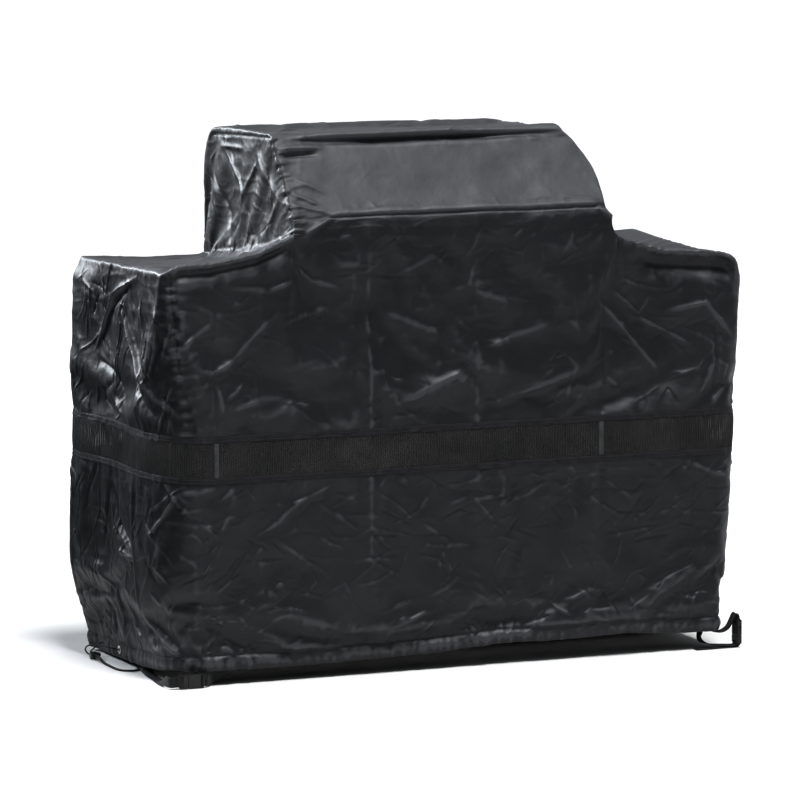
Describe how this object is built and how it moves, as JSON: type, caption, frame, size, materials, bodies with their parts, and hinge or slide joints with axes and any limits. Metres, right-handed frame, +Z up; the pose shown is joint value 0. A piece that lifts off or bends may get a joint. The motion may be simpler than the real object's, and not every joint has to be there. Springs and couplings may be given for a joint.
{
  "type": "grill cover",
  "caption": "Black fitted fabric cover for a wide grill with side shelves: raised hood, see-through vent band, drawstring hem and buckled leg straps.",
  "frame": {"origin": "centre of the cover's bounding box, at floor level under the hem, where the strap buckles rest", "axes": "+Z up, +X to the right seen from the front, the front faces -Y"},
  "size_m": [1.4979, 0.6036, 1.2501],
  "materials": {
    "shell_fabric": "coated polyester, slightly sheened",
    "vent_mesh": "open ribbed mesh, see-through",
    "binding_tape": "double stitched woven tape",
    "webbing": "woven polypropylene",
    "buckle_plastic": "moulded acetal",
    "nickel": "polished nickel plate",
    "drawstring": "braided cord",
    "cord_lock_plastic": "glossy moulded plastic",
    "spring_steel": "bare wire"
  },
  "bodies": {
    "cover": {"front_upper_panel": "shell_fabric", "back_upper_panel": "shell_fabric", "hood_top_panel": "shell_fabric", "hood_left_side_panel": "shell_fabric", "hood_right_side_panel": "shell_fabric", "left_shelf_top_panel": "shell_fabric", "right_shelf_top_panel": "shell_fabric", "left_end_upper_panel": "shell_fabric", "right_end_upper_panel": "shell_fabric", "front_skirt_panel": "shell_fabric", "left_front_skirt_panel": "shell_fabric", "left_back_skirt_panel": "shell_fabric", "back_skirt_panel": "shell_fabric", "right_end_skirt_panel": "shell_fabric", "front_left_vent_mesh": "vent_mesh", "front_centre_vent_mesh": "vent_mesh", "front_right_vent_mesh": "vent_mesh", "right_end_vent_mesh": "vent_mesh", "back_vent_mesh": "vent_mesh", "left_end_vent_mesh": "vent_mesh", "upper_vent_binding": "binding_tape", "lower_vent_binding": "binding_tape", "front_eyelet": "nickel", "front_eyelet_washer": "nickel", "back_eyelet": "nickel", "back_eyelet_washer": "nickel", "hem_drawstring": "drawstring", "drawstring_front_end": "drawstring", "drawstring_back_end": "drawstring", "drawstring_knot": "drawstring", "cord_lock_barrel": "cord_lock_plastic", "cord_lock_spring": "spring_steel", "front_left_socket_strap": "webbing", "front_left_plug_strap": "webbing", "front_left_buckle_socket": "buckle_plastic", "back_left_socket_strap": "webbing", "back_left_plug_strap": "webbing", "back_left_buckle_socket": "buckle_plastic", "back_right_socket_strap": "webbing", "back_right_plug_strap": "webbing", "back_right_buckle_socket": "buckle_plastic", "front_right_socket_strap": "webbing", "front_right_plug_strap": "webbing", "front_right_buckle_plug": "buckle_plastic"},
    "front_left_plug": {"front_left_buckle_plug": "buckle_plastic"},
    "front_left_arm_a": {"front_left_release_arm_a": "buckle_plastic"},
    "front_left_arm_b": {"front_left_release_arm_b": "buckle_plastic"},
    "back_left_plug": {"back_left_buckle_plug": "buckle_plastic"},
    "back_left_arm_a": {"back_left_release_arm_a": "buckle_plastic"},
    "back_left_arm_b": {"back_left_release_arm_b": "buckle_plastic"},
    "back_right_plug": {"back_right_buckle_plug": "buckle_plastic"},
    "back_right_arm_a": {"back_right_release_arm_a": "buckle_plastic"},
    "back_right_arm_b": {"back_right_release_arm_b": "buckle_plastic"},
    "front_right_socket": {"front_right_buckle_socket": "buckle_plastic"},
    "front_right_arm_a": {"front_right_release_arm_a": "buckle_plastic"},
    "front_right_arm_b": {"front_right_release_arm_b": "buckle_plastic"},
    "cord_lock_plunger": {"cord_lock_plunger": "cord_lock_plastic"}
  },
  "joints": [
    {"name": "front_left_release", "type": "slide", "parent": "cover", "child": "front_left_plug", "axis": [-1, 0, 0], "range_m": [0, 0.025], "deforming": ["front_left_plug_strap"]},
    {"name": "front_left_arm_a_squeeze", "type": "hinge", "parent": "front_left_plug", "child": "front_left_arm_a", "pos_m": [-0.6644, -0.28, 0.0268], "axis": [0, 1, 0], "range_deg": [0, 12.5]},
    {"name": "front_left_arm_b_squeeze", "type": "hinge", "parent": "front_left_plug", "child": "front_left_arm_b", "pos_m": [-0.6644, -0.28, 0.0078], "axis": [0, -1, 0], "range_deg": [0, 12.5]},
    {"name": "back_left_release", "type": "slide", "parent": "cover", "child": "back_left_plug", "axis": [1, 0, 0], "range_m": [0, 0.025], "deforming": ["back_left_plug_strap"]},
    {"name": "back_left_arm_a_squeeze", "type": "hinge", "parent": "back_left_plug", "child": "back_left_arm_a", "pos_m": [-0.4916, 0.2965, 0.0268], "axis": [0, -1, 0], "range_deg": [0, 12.5]},
    {"name": "back_left_arm_b_squeeze", "type": "hinge", "parent": "back_left_plug", "child": "back_left_arm_b", "pos_m": [-0.4916, 0.2965, 0.0078], "axis": [0, 1, 0], "range_deg": [0, 12.5]},
    {"name": "back_right_release", "type": "slide", "parent": "cover", "child": "back_right_plug", "axis": [-1, 0, 0], "range_m": [0, 0.025], "deforming": ["back_right_plug_strap"]},
    {"name": "back_right_arm_a_squeeze", "type": "hinge", "parent": "back_right_plug", "child": "back_right_arm_a", "pos_m": [0.4916, 0.2965, 0.0078], "axis": [0, -1, 0], "range_deg": [0, 12.5]},
    {"name": "back_right_arm_b_squeeze", "type": "hinge", "parent": "back_right_plug", "child": "back_right_arm_b", "pos_m": [0.4916, 0.2965, 0.0268], "axis": [0, 1, 0], "range_deg": [0, 12.5]},
    {"name": "front_right_release", "type": "slide", "parent": "cover", "child": "front_right_socket", "axis": [0, 0, 1], "range_m": [0, 0.025], "deforming": ["front_right_socket_strap"]},
    {"name": "front_right_arm_a_squeeze", "type": "hinge", "parent": "cover", "child": "front_right_arm_a", "pos_m": [0.742, -0.2565, 0.0306], "axis": [1, 0, 0], "range_deg": [0, 12.5]},
    {"name": "front_right_arm_b_squeeze", "type": "hinge", "parent": "cover", "child": "front_right_arm_b", "pos_m": [0.742, -0.2755, 0.0306], "axis": [-1, 0, 0], "range_deg": [0, 12.5]},
    {"name": "cord_lock_press", "type": "slide", "parent": "cover", "child": "cord_lock_plunger", "axis": [-1, 0, 0], "range_m": [0, 0.003], "stiffness_N_per_m": 900, "springref_m": -0.003, "deforming": ["cord_lock_spring"]}
  ],
  "couplings": [
    {"joint": "front_left_arm_a_squeeze", "follows": "front_left_release", "rad_per_m": 8.5},
    {"joint": "front_left_arm_b_squeeze", "follows": "front_left_release", "rad_per_m": 8.5},
    {"joint": "back_left_arm_a_squeeze", "follows": "back_left_release", "rad_per_m": 8.5},
    {"joint": "back_left_arm_b_squeeze", "follows": "back_left_release", "rad_per_m": 8.5},
    {"joint": "back_right_arm_a_squeeze", "follows": "back_right_release", "rad_per_m": 8.5},
    {"joint": "back_right_arm_b_squeeze", "follows": "back_right_release", "rad_per_m": 8.5},
    {"joint": "front_right_arm_a_squeeze", "follows": "front_right_release", "rad_per_m": 8.5},
    {"joint": "front_right_arm_b_squeeze", "follows": "front_right_release", "rad_per_m": 8.5}
  ]
}
